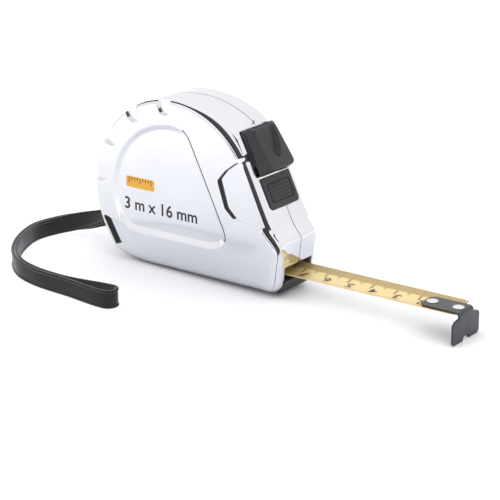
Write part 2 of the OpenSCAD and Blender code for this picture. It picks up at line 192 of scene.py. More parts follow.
def finish(name, light, dark, gloss, metal=0.0, smudge=60.0, grain=2500.0, bump=0.0,
           depth=0.00002, brushed=False, **sockets):
    """A material: two close colours over smudges, a gloss range and a fine bump."""
    material = bpy.data.materials.new(name)
    material.use_nodes = True
    tree = material.node_tree
    shader = tree.nodes["Principled BSDF"]
    place = tree.nodes.new("ShaderNodeTexCoord").outputs["Object"]
    surface = tree.nodes.new("ShaderNodeGroup")
    surface.node_tree = HANDLED
    tree.links.new(place, surface.inputs["Vector"])
    surface.inputs["Smudge Scale"].default_value = smudge
    surface.inputs["Grain Scale"].default_value = grain
    surface.inputs["Gloss Low"].default_value = gloss[0]
    surface.inputs["Gloss High"].default_value = gloss[1]
    mix = tree.nodes.new("ShaderNodeMix")
    mix.data_type = "RGBA"
    mix.inputs["A"].default_value = (*light, 1)
    mix.inputs["B"].default_value = (*dark, 1)
    tree.links.new(surface.outputs["Mask"], mix.inputs["Factor"])
    tree.links.new(mix.outputs["Result"], shader.inputs["Base Color"])
    tree.links.new(surface.outputs["Roughness"], shader.inputs["Roughness"])
    shader.inputs["Metallic"].default_value = metal
    for label, value in sockets.items():
        shader.inputs[label.replace("_", " ")].default_value = value
    if bump:
        relief = tree.nodes.new("ShaderNodeBump")
        relief.inputs["Strength"].default_value = bump
        relief.inputs["Distance"].default_value = depth
        height = surface.outputs["Grain"]
        if brushed:
            lines = tree.nodes.new("ShaderNodeGroup")
            lines.node_tree = BRUSHED
            tree.links.new(place, lines.inputs["Vector"])
            height = lines.outputs["Lines"]
        tree.links.new(height, relief.inputs["Height"])
        tree.links.new(relief.outputs["Normal"], shader.inputs["Normal"])
    return material


CHROME = finish("plated_chrome", (0.81, 0.815, 0.84), (0.775, 0.78, 0.81), (0.05, 0.085), 1.0,
                smudge=45, grain=900, bump=0.04)
# Dark coat: a dark joint at the parting seam, and painted shade on the spine's side wall, the
# cheek's inner edge, the label recess's front edge and the scoops' rear walls.
SEAM_AND_SHADE = finish("dark_groove", (0.012, 0.012, 0.014), (0.02, 0.02, 0.022), (0.3, 0.5))
INSIDE = finish("inner_moulding", (0.03, 0.03, 0.034), (0.045, 0.045, 0.05), (0.5, 0.7),
                bump=0.2)
CHARCOAL = finish("charcoal_moulding", (0.017, 0.017, 0.020), (0.026, 0.026, 0.030), (0.34, 0.46),
                  smudge=80, grain=3200, bump=0.35, Specular_IOR_Level=0.45)
STRAP = finish("strap_band", (0.004, 0.004, 0.005), (0.008, 0.008, 0.009), (0.26, 0.4),
               smudge=140, grain=2600, bump=0.5, depth=0.00003, Specular_IOR_Level=0.35)
LACQUER = finish("blade_lacquer", (0.80, 0.61, 0.27), (0.73, 0.54, 0.22), (0.25, 0.36), 0.2,
                 smudge=35, bump=0.15, brushed=True, Coat_Weight=0.4, Coat_Roughness=0.12)
INK = finish("scale_ink", (0.012, 0.008, 0.003), (0.02, 0.014, 0.006), (0.35, 0.5))
HOOK_STEEL = finish("hook_steel", (0.055, 0.055, 0.06), (0.085, 0.085, 0.09), (0.28, 0.4), 0.75,
                    smudge=180, grain=1800, bump=0.25)
NICKEL = finish("rivet_nickel", (0.87, 0.86, 0.84), (0.78, 0.77, 0.75), (0.12, 0.22), 1.0,
                smudge=400)
TURNED = finish("turned_steel", (0.62, 0.62, 0.63), (0.5, 0.5, 0.52), (0.22, 0.36), 1.0,
                smudge=150, bump=0.2)
BLUED = finish("blued_spring", (0.25, 0.28, 0.36), (0.34, 0.3, 0.33), (0.22, 0.35), 1.0,
               smudge=90, bump=0.15)
REEL = finish("reel_moulding", (0.10, 0.115, 0.13), (0.14, 0.15, 0.17), (0.45, 0.6),
              smudge=90, bump=0.3)
WASHER = finish("washer_moulding", (0.72, 0.72, 0.68), (0.62, 0.62, 0.58), (0.4, 0.55),
                bump=0.2)
RUBBER = finish("pad_rubber", (0.018, 0.018, 0.018), (0.03, 0.03, 0.03), (0.7, 0.85),
                bump=0.6)
PRINT = finish("side_print", (0.02, 0.02, 0.022), (0.03, 0.03, 0.034), (0.4, 0.5))
AMBER = finish("side_print_amber", (0.8, 0.42, 0.03), (0.7, 0.36, 0.03), (0.4, 0.5))
COATS = (CHROME, SEAM_AND_SHADE, INSIDE)  # of a case half, in the order of its marks

# ---------------------------------------------------------------- mesh tools


def piece(name, points, faces, *materials, marks=None):
    """A mesh object from points in millimetres; marks gives a material number per face."""
    mesh = bpy.data.meshes.new(name)
    mesh.from_pydata([[c * MM for c in p] for p in points], [], faces)
    for m in materials:
        mesh.materials.append(m)
    if marks is not None:
        mesh.polygons.foreach_set("material_index", np.asarray(marks, np.int32))
    shape = bpy.data.objects.new(name, mesh)
    scene.collection.objects.link(shape)
    return shape


def face_out(shape):
    work = bmesh.new()
    work.from_mesh(shape.data)
    bmesh.ops.remove_doubles(work, verts=work.verts, dist=1e-8)
    bmesh.ops.recalc_face_normals(work, faces=work.faces)
    if work.calc_volume(signed=True) < 0:
        bmesh.ops.reverse_faces(work, faces=work.faces)
    work.to_mesh(shape.data)
    work.free()
    return shape


def settle(shape):
    """Turns the modifiers into plain mesh."""
    held = shape.evaluated_get(bpy.context.evaluated_depsgraph_get())
    mesh = bpy.data.meshes.new_from_object(held)
    shape.modifiers.clear()
    shape.data = mesh
    return shape


def carve(shape, tool, how="DIFFERENCE"):
    step = shape.modifiers.new("carve", "BOOLEAN")
    step.operation, step.solver, step.object = how, "MANIFOLD", tool
    settle(shape)
    bpy.data.objects.remove(tool)
    return shape


def soften(shape, width, steps=2, limit=35):
    edge = shape.modifiers.new("soften", "BEVEL")
    edge.width, edge.segments, edge.limit_method = width * MM, steps, "ANGLE"
    edge.angle_limit = math.radians(limit)
    edge.harden_normals = False
    return settle(shape)


def shade(shape, angle=30, weight=85):
    """Smooth shading with sharp edges kept, and flats that stay flat."""
    work = bmesh.new()
    work.from_mesh(shape.data)
    for f in work.faces:
        f.smooth = True
    for e in work.edges:
        e.smooth = len(e.link_faces) == 2 and e.calc_face_angle(4) < math.radians(angle)
    work.to_mesh(shape.data)
    work.free()
    even = shape.modifiers.new("even", "WEIGHTED_NORMAL")
    even.keep_sharp, even.weight = True, weight
    return settle(shape)


def join(name, shapes):
    """Several pieces as one, in their places."""
    work = bmesh.new()
    slots = []
    for s in shapes:
        start = len(work.faces)
        work.from_mesh(s.data)
        work.faces.ensure_lookup_table()
        index = {}
        for i, m in enumerate(s.data.materials):
            if m not in slots:
                slots.append(m)
            index[i] = slots.index(m)
        for f in work.faces[start:]:
            f.material_index = index.get(f.material_index, 0)
    mesh = bpy.data.meshes.new(name)
    work.to_mesh(mesh)
    work.free()
    for m in slots:
        mesh.materials.append(m)
    for s in shapes:
        bpy.data.objects.remove(s)
    shape = bpy.data.objects.new(name, mesh)
    scene.collection.objects.link(shape)
    return shape


def stack(name, rings, *materials, marks=None, loop=False, poles=(None, None)):
    """A closed solid through rings of equal length. Each end is flat, or a fan to its pole."""
    n, k = len(rings[0]), len(rings)
    points = [p for ring in rings for p in ring]
    faces, kinds = [], []
    for j in range(k if loop else k - 1):
        a, b = j * n, ((j + 1) % k) * n
        for i in range(n):
            faces.append((a + i, a + (i + 1) % n, b + (i + 1) % n, b + i))
            mark = marks[j] if marks else 0
            kinds.append(int(mark[i]) if hasattr(mark, "__len__") else mark)
    if not loop:
        ends = (list(range(n))[::-1], list(range((k - 1) * n, k * n)))
        for edge, pole in zip(ends, poles):
            if pole is None:
                faces.append(tuple(edge))
            else:
                points.append(pole)
                faces += [(edge[i - 1], edge[i], len(points) - 1) for i in range(n)]
    kinds += [0] * (len(faces) - len(kinds))
    return face_out(piece(name, points, faces, *materials, marks=kinds))


def rounded(corners, radii, steps=6):
    """A closed 2-D outline with its corners rounded."""
    out, n = [], len(corners)
    radii = radii if hasattr(radii, "__len__") else [radii] * n
    for i in range(n):
        p = np.array(corners[i], float)
        a, b = np.array(corners[i - 1], float) - p, np.array(corners[(i + 1) % n], float) - p
        la, lb = np.linalg.norm(a), np.linalg.norm(b)
        a, b = a / la, b / lb
        half = math.acos(max(-1, min(1, a @ b))) / 2
        r = radii[i]
        reach = min(r / max(math.tan(half), 1e-6), 0.48 * la, 0.48 * lb)
        if r < 1e-6 or half > 1.55:
            out.append(p)
            continue
        r = reach * math.tan(half)
        mid = p + (a + b) / np.linalg.norm(a + b) * (r / math.sin(half))
        start, end = p + a * reach - mid, p + b * reach - mid
        turn = math.atan2(start[0] * end[1] - start[1] * end[0], start @ end)
        for s in range(steps + 1):
            c, d = math.cos(turn * s / steps), math.sin(turn * s / steps)
            out.append(mid + [c * start[0] - d * start[1], d * start[0] + c * start[1]])
    return np.array(out)


def oblong(half, low, high, radii, steps=6):
    """A rounded rectangle, half wide each way and from low to high."""
    return rounded([(-half, low), (half, low), (half, high), (-half, high)], radii, steps)


def circle(x, z, r, sides):
    return [(x + r * math.cos(t), z + r * math.sin(t))
            for t in np.linspace(0, 2 * math.pi, sides, endpoint=False)]


def inward(outline):
    """Unit vectors that point into a closed outline, one at each point."""
    ahead, behind = np.roll(outline, -1, 0), np.roll(outline, 1, 0)
    along = ahead - behind
    along /= np.linalg.norm(along, axis=1)[:, None]
    area = np.sum(outline[:, 0] * ahead[:, 1] - ahead[:, 0] * outline[:, 1])
    return np.stack([-along[:, 1], along[:, 0]], 1) * (1 if area > 0 else -1)


def on_side(outline, y):
    """Points of an XZ outline at a given Y."""
    return [(p[0], y, p[1]) for p in outline]


def on_deck(n, y, u):
    """A point measured from the brow: n out of the slope, u down it."""
    x, z = BROW + OUT * n - UP * u
    return (x, y, z)


def side_tool(outline, levels, side, *materials):
    """A tool that sinks into one side; levels are (draw inwards, height over the side)."""
    into = inward(outline)
    rings = [on_side(outline + into * draw, side * (SIDE_Y + up)) for draw, up in levels]
    return stack("tool", rings, *materials)


def deck_tool(outline, levels, *materials):
    """A tool that sinks into the slope; the outline holds (y, u), levels (draw, n)."""
    into = inward(outline)
    rings = [[on_deck(n, *p) for p in outline + into * draw] for draw, n in levels]
    return stack("tool", rings, *materials)


def along_x(outline, x0, x1, *materials):
    """A solid of one YZ outline between two places in X."""
    return stack("tool", [[(x, *p) for p in outline] for x in (x0, x1)], *materials)


def block(low, high, *materials):
    (x0, y0, z0), (x1, y1, z1) = low, high
    ring = [(x0, y0), (x1, y0), (x1, y1), (x0, y1)]
    return stack("tool", [[(*p, z) for p in ring] for z in (z0, z1)], *materials)


def bar(x, z, r, y0, y1, *materials, sides=48):
    return stack("tool", [on_side(circle(x, z, r, sides), y) for y in (y0, y1)], *materials)


def smooth_step(x):
    """From 0 to 1 with no kink at either end."""
    x = np.clip(x, 0, 1)
    return x * x * (3 - 2 * x)


# ---------------------------------------------------------------- wrist strap

STRAP_ROUTE = np.array([
    [-38, 0, 12], [-44, 0, 11.5], [-50, 0, 10.3], [-58, -0.5, 8],
    [-66, -3, 6.1], [-71.5, -9, 4.9], [-73, -17, 4.6], [-70.5, -26, 4.6],
    [-65.5, -36, 4.4], [-58, -45.5, 4.3], [-49, -52, 4.1], [-39, -55, 3.9],
    [-28, -56.2, 3.9], [-16, -56.3, 3.9], [-5, -56, 3.9], [2, -55.6, 3.9],
])


def along_route(route, k):
    n = len(route) - 1
    i = min(int(k), n - 1)
    t = k - i
    a, b, c, d = (route[max(i - 1, 0)], route[i], route[i + 1], route[min(i + 2, n)])
    return 0.5 * (2 * b + (c - a) * t + (2 * a - 5 * b + 4 * c - d) * t * t
                  + (3 * b - a - 3 * c + d) * t ** 3)


def make_wrist_strap():
    """A flat band folded back on itself, on edge at the far end and flat at the bar."""
    steps = 16
    last = len(STRAP_ROUTE) - 1
    ks = np.linspace(0, last, last * steps + 1)
    line = np.array([along_route(STRAP_ROUTE, k) for k in ks])
    far = np.r_[0, np.cumsum(np.linalg.norm(np.diff(line, axis=0), axis=1))]
    length = far[-1]
    ahead = np.gradient(line, axis=0)
    ahead /= np.linalg.norm(ahead, axis=1)[:, None]
    level = np.stack([ahead[:, 0], ahead[:, 1], 0 * ks], 1)
    level /= np.linalg.norm(level, axis=1)[:, None]
    lateral = np.stack([-level[:, 1], level[:, 0], 0 * ks], 1)
    rise = np.cross(ahead, lateral)
    roll = np.radians(90 * (1 - np.clip((ks - 0.5) / 4, 0, 1)))[:, None]
    thick = np.cos(roll) * lateral + np.sin(roll) * rise
    wide = -np.sin(roll) * lateral + np.cos(roll) * rise
    gap = LAYER_GAP + 1.25 * (1 - smooth_step((far - 5) / 9))
    gap += (FOLD - LAYER_GAP) * smooth_step((far - (length - 31)) / 27) ** 1.4
    run = np.flatnonzero(far <= length - FOLD - 0.6)
    lip = [(-3.5, 0.1), (-3.46, 0.4), (-3.3, 0.6), (-2.95, 0.7), (-2.6, 0.6),
           (-2.42, 0.34), (-2.2, 0.24), (-1.9, 0.34), (-1.5, 0.42)]
    under = [(3.44, -0.4), (3.2, -0.56), (2.7, -0.6), (0, -0.56), (-2.7, -0.6),
             (-3.2, -0.56), (-3.44, -0.4)]
    section = lip + [(-w, t) for w, t in lip[::-1]] + under

    def lay(i, out):
        """One section of the band, on the side of the route that out points to."""
        centre = line[i] + out * gap[i]
        return [tuple(centre + wide[i] * w + out * t) for w, t in section]

    def turned(i, t):
        return thick[i] * math.cos(t) + ahead[i] * math.sin(t)

    tip = run[-1]
    rings = [lay(i, thick[i]) for i in run]
    rings += [lay(tip, turned(tip, t)) for t in np.linspace(0, math.pi, 17)[1:-1]]
    rings += [lay(i, -thick[i]) for i in run[::-1]]
    rings += [lay(0, turned(0, t)) for t in np.linspace(math.pi, 2 * math.pi, 13)[1:-1]]
    strap = stack("wrist_strap_band", rings, STRAP, loop=True)
    shade(strap, 50, 50)
    strap.visible_glossy = strap.visible_diffuse = False
    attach(strap, "case")
    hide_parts("wrist_strap")


make_wrist_strap()

# ---------------------------------------------------------------- case outlines


def soft_max(a, b, reach):
    near = np.maximum(reach - np.abs(a - b), 0) / reach
    return np.maximum(a, b) + near * near * reach / 4


def soft_min(a, b, reach):
    return -soft_max(-a, -b, reach)


def nose_lean(p):
    """How far the nose's front leans back at a point's height."""
    return NOSE_LEAN * np.maximum(NOSE_LEAN_TOP - p[:, 1], 0)


def rim_field(p):
    """Below zero inside the outline of the case sides."""
    q = p - RIM_CENTRE
    ring = np.hypot(q[:, 0], q[:, 1]) - RIM_R
    front = RIM_CENTRE[0] - p[:, 0]
    slope = np.maximum.reduce([q @ OUT - RIM_R, q @ UP, front, 25.6 - p[:, 1]])
    nose = soft_max(p[:, 0] - (NOSE_X - 1.8) + nose_lean(p),
                    (p[:, 0] + p[:, 1] - 59.8) / math.sqrt(2), 2)
    nose = np.maximum(nose, p[:, 1] - 30)
    body = soft_min(np.minimum(ring, slope), np.maximum(nose, front), 2)
    return soft_max(body, -p[:, 1], BASE_ROUND)


def spine_field(p):
    """Below zero inside the outline of the raised spine."""
    q = p - RIM_CENTRE
    ring = np.hypot(q[:, 0], q[:, 1]) - RIM_R
    front = RIM_CENTRE[0] - p[:, 0]
    deck = q @ OUT - RIM_R - RISE
    crown = np.hypot(*(p - CROWN_CENTRE).T) - CROWN_R
    top = soft_max(crown, deck, 1.5)
    top = np.maximum(top, 25 - p[:, 1])
    wedge = np.maximum.reduce([deck, q @ UP, front, 21 - p[:, 1]])
    nose = soft_max(p[:, 0] - NOSE_X + nose_lean(p),
                    (p[:, 0] + p[:, 1] - 65.04) / math.sqrt(2), 1.2)
    nose = np.maximum(nose, p[:, 1] - 26)
    body = soft_min(np.minimum(soft_min(ring, top, 2.5), wedge), np.maximum(nose, front), 1.2)
    return soft_max(body, -p[:, 1], BASE_ROUND)


def trace(field, angles, centre=RIM_CENTRE):
    """Where each ray from the centre leaves the field's inside."""
    ray = np.stack([np.cos(angles), np.sin(angles)], 1)
    low, high = np.full(len(angles), 3.0), np.full(len(angles), 75.0)
    for _ in range(46):
        mid = (low + high) / 2
        inside = field(centre + ray * mid[:, None]) < 0
        low, high = np.where(inside, mid, low), np.where(inside, high, mid)
    return centre + ray * low[:, None]


def spread_angles(field, centre, step, turn, extra=()):
    """Angles that put more points where the outline turns."""
    dense = np.linspace(-math.pi, math.pi, 7200, endpoint=False)
    line = trace(field, dense, centre)
    ahead = np.roll(line, -1, 0) - line
    size = np.linalg.norm(ahead, axis=1)
    heading = np.unwrap(np.arctan2(ahead[:, 1], ahead[:, 0]))
    bend = np.abs(np.diff(heading, append=heading[0] + 2 * math.pi))
    bend = np.convolve(np.r_[bend[-20:], bend, bend[:20]], np.ones(41) / 41, "same")[20:-20]
    weight = size / step + bend / math.radians(turn)
    for where, wide, gain in extra:
        weight += size / step * gain * np.exp(-(((dense - where) / wide) ** 4))
    total = np.r_[0, np.cumsum(weight)]
    count = int(total[-1])
    spots = np.linspace(0, total[-1], count, endpoint=False)
    return np.interp(spots, total, np.r_[dense, math.pi])


RIB = math.radians(32)
ANGLES = spread_angles(spine_field, RIM_CENTRE, 0.62, 4.5, [(RIB, math.radians(3), 1.5)])
RAY = np.stack([np.cos(ANGLES), np.sin(ANGLES)], 1)
SPINE = trace(spine_field, ANGLES)
RIM_BARE = trace(rim_field, ANGLES)


def stands_out(outline):
    """How far the spine stands out of an outline of the sides, at each angle."""
    return np.maximum(np.linalg.norm(SPINE - RIM_CENTRE, axis=1)
                      - np.linalg.norm(outline - RIM_CENTRE, axis=1), 0)


# A rib crosses the groove between the side and the spine
rib_share = 0.86 * np.exp(-(((ANGLES - RIB) / math.radians(1.5)) ** 4))
RIM = RIM_BARE + RAY * (stands_out(RIM_BARE) * rib_share)[:, None]
HIGH = stands_out(RIM)


def case_rings():
    """Rings from the parting plane out to the flat of the side, as (outline, y, mark)."""
    into_spine, into_rim = inward(SPINE), inward(RIM_BARE)
    lower = smooth_step((4.5 - SPINE[:, 1]) / 4.5)
    nose = smooth_step((19.5 - SPINE[:, 1]) / 4) * (SPINE[:, 0] > 30)
    full = np.maximum(lower, nose)
    band = 0.35 + 1.5 * smooth_step((math.radians(80) - ANGLES) / math.radians(30))
    band = band + 1.0 * np.exp(-(((SPINE[:, 1] - 22) / 4) ** 2)) * (SPINE[:, 0] > 30)
    share = np.minimum(band / np.maximum(HIGH, 1e-6), 1)
    deep = 4.4
    crown_fall = 0.4 + 0.9 * smooth_step((ANGLES - 0.6) / 0.35) * (ANGLES < 1.9)
    crown_fall = np.minimum(crown_fall, HIGH * 0.45)
    rings = []
    for y in (0, 0.16, 1.5, 3, 4.5, 6, 7, 7.5, 8.0, 8.5, 9, 9.5, 10, 10.4, 10.75, 11.05, 11.27,
              11.5, 11.7, 11.82, SPINE_Y):
        e = min(max((y - 7.5) / (SPINE_Y - 7.5), 0), 1)
        drop = 1 - math.sqrt(1 - e * e)
        e = min(max((y - 8) / 5, 0), 1)
        bottom = deep * (1 - math.sqrt(1 - e * e))
        crowned = crown_fall * min(y / 8, 1) ** 2 * (1 - drop)
        fall = (HIGH * (1 - share) * drop + crowned) * (1 - full) + (0.24 if y == 0 else 0)
        ring = SPINE - RAY * fall[:, None] + into_spine * (bottom * full)[:, None]
        # Mark 1 on the y = 0 ring gives the parting seam the dark coat, as a dark joint.
        rings.append((ring, y, 1 if y == 0 else 0))
    # The spine's side wall takes the dark coat: painted shade for the dark band between spine and
    # cheek.
    rings[-1] = (rings[-1][0], SPINE_Y, 1)
    cheek = SIDE_Y - SPINE_Y
    for t in (4, 12, 22, 34, 46, 58, 70, 82, 90):
        # The start of the cheek's rounding takes the dark coat too: painted shade that widens the
        # dark band.
        mark = 1 if t < 20 else 0
        t = math.radians(t)
        y = SPINE_Y + cheek * math.sin(t)
        e = (y - 8) / 5
        bottom = deep * (1 - math.sqrt(max(1 - e * e, 0)))
        draw = cheek * (1 - math.cos(t)) * (1 - full) + np.maximum(bottom - HIGH, 0.02) * full
        rings.append((RIM + into_rim * draw[:, None], y, mark * (full < 0.5)))
    return rings


def label_outline():
    """Outline of the broad shallow panel on each side."""
    centre = np.array([-6.0, 32.0])

    def field(p):
        q = p - RIM_CENTRE
        ring = np.hypot(q[:, 0], q[:, 1]) - 28.8
        slope = q @ OUT - 18.6
        return soft_max(soft_max(ring, slope, 4), 12.7 - p[:, 1], 6)

    angles = spread_angles(field, centre, 1.2, 4)
    return trace(field, angles, centre)


def label_tool(side):
    outline = label_outline()
    into = inward(outline)
    q = outline - RIM_CENTRE
    front = smooth_step((q @ OUT - 16.2) / 1.6)
    rings, marks = [], []
    # The last column marks bands on the recess's front edge for the dark coat: painted shade drawn
    # as dark crease lines.
    for draw, up, edge_draw, edge_up, dark in (
        (-0.35, 0.6, -0.7, 0.6, 0), (-0.1, 0.03, -0.5, 0.03, 1), (0.25, -0.05, -0.32, -0.5, 1),
        (0.7, -0.2, 0.05, -0.14, 0), (1.2, -0.42, 0.8, -0.22, 1), (1.7, -0.66, 0.98, -1.1, 1),
        (2.15, -0.82, 1.32, -0.88, 0), (2.5, -0.9, 1.6, -0.9, 0),
    ):
        d = draw + (edge_draw - draw) * front
        h = up + (edge_up - up) * front
        ring = outline + into * d[:, None]
        rings.append([(p[0], side * (SIDE_Y + v), p[1]) for p, v in zip(ring, h)])
        marks.append((front > 0.6) * dark)
    return stack("tool", rings, *COATS, marks=marks)


def scoop_tool(outline, side, depth, edge=0.25):
    """A hollow with a tilted flat floor; depth gives how deep it is at an XZ point."""
    into = inward(outline)
    levels = [(outline - into * 0.4, np.full(len(outline), 0.8)),
              (outline - into * edge, np.full(len(outline), 0.02)),
              (outline - into * edge * 0.3, np.full(len(outline), -edge * 0.35)),
              (outline, np.full(len(outline), -edge)),
              (outline + into * 0.12, np.array([-depth(p) + 0.12 for p in outline])),
              (outline + into * 0.35, np.array([-depth(p) for p in outline + into * 0.35]))]
    rings = [[(p[0], side * (SIDE_Y + h), p[1]) for p, h in zip(ring, up)] for ring, up in levels]
    # Painted shade: the walls along the scoop's rear edge take the dark coat.
    shaded_rear = (into[:, 0] > 0.3) * 1
    return stack("tool", rings, *COATS, marks=[0, 0, 0, shaded_rear, shaded_rear])


def notch_tools(side):
    """The four grip notches round the back."""
    made = []
    for k in range(4):
        t = math.radians(95 + 26 * k)
        away, aside = np.array([math.cos(t), math.sin(t)]), np.array([-math.sin(t), math.cos(t)])
        shape = [(41, -3.0), (41, 3.0), (34.9, 3.0), (32.3, 1.6), (32.3, -1.6), (34.9, -3.0)]
        outline = rounded([RIM_CENTRE + away * a + aside * b for a, b in shape],
                          [0, 0, 2.2, 1.6, 1.6, 2.2], 5)
        made.append(side_tool(outline, [(-0.35, 0.6), (-0.3, 0.03), (-0.08, -0.12), (0.02, -0.4),
                                        (0.1, -1.25), (0.35, -1.55)], side, *COATS))
    return join("tool", made)


def hollow_tools(side):
    """What is scooped out for the works, with walls left round the pocket, bosses and strap."""
    made = []
    for outline, reach in ((RIM_BARE, INNER_Y), (SPINE, 8.5)):
        inner = outline + inward(outline) * WALL
        tool = stack("tool", [on_side(inner, side * y) for y in (-1.0, reach)], *COATS)
        tool.data.polygons.foreach_set("material_index", [2] * len(tool.data.polygons))
        under_deck = np.array([(-20, -2), (20, -2), (20, 20.9), (-20, 20.9)])
        carve(tool, deck_tool(under_deck, [(0, -5.15), (0, 20)], *COATS))
        carve(tool, block((-100, -5.6, 8.6), (BAR[0] + 3.6, 5.6, 15.4), *COATS))
        for x, z in SCREWS:
            carve(tool, bar(x, z, BOSS_R, -14, 14, *COATS, sides=32))
        made.append(tool)
    return made


def finger_scoop(side):
    """The broad scoop before the label, where the fingers hold."""
    outline = rounded([(14.9, 40.2), (18.3, 30.0), (22.2, 26.6), (33.6, 25.9), (41.5, 25.9),
                       (31.5, 48.4), (23.9, 48.6), (18.6, 44.6)], [1.5, 3, 3, 1, 0, 0, 3, 3])
    return scoop_tool(outline, side, lambda p: 1.6 - 0.05 * (p[0] - 15))


def rear_scoop(side):
    """The three-cornered scoop low at the back, which runs out towards the front."""
    outline = rounded([(-41.3, 17.4), (-34.6, 5.6), (-22.6, 11.4)], [0.8, 1.0, 0.6])
    start, way = np.array([-41.3, 17.4]), np.array([0.87, 0.49])
    return scoop_tool(outline, side,
                      lambda p: 1.6 - 1.4 * min(max((p - start) @ way / 13, 0), 1), 0.12)


def deck_tools():
    """The button's pocket, the slot of its stem and the lock plate's seat."""
    half = PLATE_HALF + 0.17
    pocket = oblong(BUTTON_W / 2 + 0.3, -0.1, 18.9, [1.6, 1.6, 0.6, 0.6])
    seat = oblong(half, 18.7, PLATE_U1 + 0.12, [0, 0, 1.9, 1.9])
    return [deck_tool(pocket, [(-0.3, 20), (-0.25, 3.6), (0, 3.2), (0, -3)], *COATS),
            deck_tool(oblong(2.9, 3.7, 13.3, 0.5), [(0, 1), (0, -20)], *COATS),
            deck_tool(seat, [(-0.2, 3), (-0.12, 0.05), (0, -0.1), (0, -1)], *COATS)]


def mouth_tools():
    """The mouth, flared towards the front, and the room for the guard under it."""
    mouth = oblong(MOUTH_HALF, MOUTH_LO - 0.6, MOUTH_HI, [0, 0, 0.5, 0.5])
    flare = [[(x, p[0] + d * np.sign(p[0]), p[1] + d * (p[1] > 8)) for p in mouth]
             for x, d in ((NOSE_X - 6, 0), (NOSE_X - 2.6, 0), (NOSE_X - 0.9, 0.3),
                          (NOSE_X + 4, 0.3))]
    return [stack("tool", flare, *COATS, marks=[2, 0, 0, 0]),
            block((NOSE_X - 8, -8.8, -1), (NOSE_X + 6, 8.8, MOUTH_LO + 0.01), *COATS)]


def strap_tools():
    """The recess that the strap leaves from, and the bore of its bar."""
    return [along_x(oblong(4.2, 9.5, 14.5, 1.2), -60, BAR[0] + 2.4, *COATS),
            bar(*BAR, BAR_R, -7.2, 7.2, *COATS, sides=24)]


def screw_tools():
    """Counterbores and bores, entered from the far side."""
    return [bar(x, z, r, y0, y1, *COATS, sides=sides) for x, z in SCREWS for r, y0, y1, sides in
            ((HEAD_R, SIDE_Y - 3.4, SIDE_Y + 1, 48), (SHANK_R, -1, SIDE_Y - 3, 24))]


def make_case_half(name, side):
    rings = case_rings()
    shell = stack(name, [on_side(ring, side * y) for ring, y, _ in rings], *COATS,
                  marks=[mark for *_, mark in rings[:-1]])
    for poly in shell.data.polygons:
        if len(poly.vertices) > 100:
            poly.material_index = 2 if abs(poly.center[1]) < 0.001 else 0
    tools = hollow_tools(side) + [label_tool(side), finger_scoop(side), rear_scoop(side),
                                  notch_tools(side)]
    tools += deck_tools() + mouth_tools() + strap_tools()
    if side > 0:
        tools += screw_tools()
    for tool in tools:
        carve(shell, tool)
    shade(shell, 32)
    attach(shell, "case")
    return shell


near = make_case_half("near_half", -1)
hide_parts("near_shell")
far = make_case_half("far_half", 1)
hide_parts("far_shell")

# ---------------------------------------------------------------- side print


def lettering(words, size, thick, bolder, align, steps, material, place):
    """Flat lettering as mesh; place says where each point of the flat text goes."""
    text = bpy.data.curves.new("lettering", "FONT")
    text.body, text.size, text.extrude, text.offset = words, size * MM, thick, bolder
    text.align_x, text.align_y, text.resolution_u = align, "CENTER", steps
    holder = bpy.data.objects.new("lettering", text)
    scene.collection.objects.link(holder)
    mesh = bpy.data.meshes.new_from_object(
        holder.evaluated_get(bpy.context.evaluated_depsgraph_get()))
    bpy.data.objects.remove(holder)
    for v in mesh.vertices:
        v.co = place(v.co)
    mesh.materials.clear()
    mesh.materials.append(material)
    shape = bpy.data.objects.new("lettering", mesh)
    scene.collection.objects.link(shape)
    return face_out(shape)


def flat_mark(x0, x1, z0, z1, round_by, high, deep, material):
    """A rounded mark on the floor of the near panel; high and deep are measured from it."""
    outline = rounded([(x0, z0), (x1, z0), (x1, z1), (x0, z1)], round_by)
    floor = PANEL_DEPTH - SIDE_Y
    return stack("mark", [on_side(outline, floor + d) for d in (high, deep)], material)


def make_side_print():
    """A plain mark: blade length and width, under an amber rule with dark divisions."""
    x, z = -30.6 * MM, 23.4 * MM
    parts = [lettering("3 m x 16 mm", 6.6, 0.00003, 0.00012, "LEFT", 6, PRINT,
                       lambda p: Vector((x + p.x, (PANEL_DEPTH - SIDE_Y) * MM - p.z, z + p.y)))]
    x0, x1, z0, z1 = -29.4, -15.6, 30.2, 34.6
    parts.append(flat_mark(x0, x1, z0, z1, 0.8, 0.03, -0.04, AMBER))
    for k in range(9):
        line = x0 + 1.5 + 1.35 * k
        depth = 2.6 if k % 4 == 0 else 1.5
        parts.append(flat_mark(line - 0.17, line + 0.17, z1 - depth, z1 - 0.3, 0, 0.03, -0.08,
                               PRINT))
    mark = join("side_print", parts)
    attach(mark, "case")



make_side_print()

# ---------------------------------------------------------------- lock and guard


def make_guard():
    """Dark guard under the mouth, dished along the blade's hollow."""
    front = rounded([(NOSE_X - 8, 0.05), (NOSE_X - 3.4, 0.05), (NOSE_X - 1.1, MOUTH_LO),
                     (NOSE_X - 8, MOUTH_LO)], [0.2, 0.7, 0.25, 0.2], 4)
    guard = stack("front_guard", [[(p[0], y, p[1]) for p in front] for y in (-8.7, 8.7)], CHARCOAL)
    dish = circle(0, HOLLOW_Z - 0.6, HOLLOW_R, 240)
    carve(guard, along_x(dish, NOSE_X - 12, NOSE_X + 8, CHARCOAL))
    soften(guard, 0.3, 3, 40)
    shade(guard, 35)
    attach(guard, "case")
    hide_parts("mouth_guard")


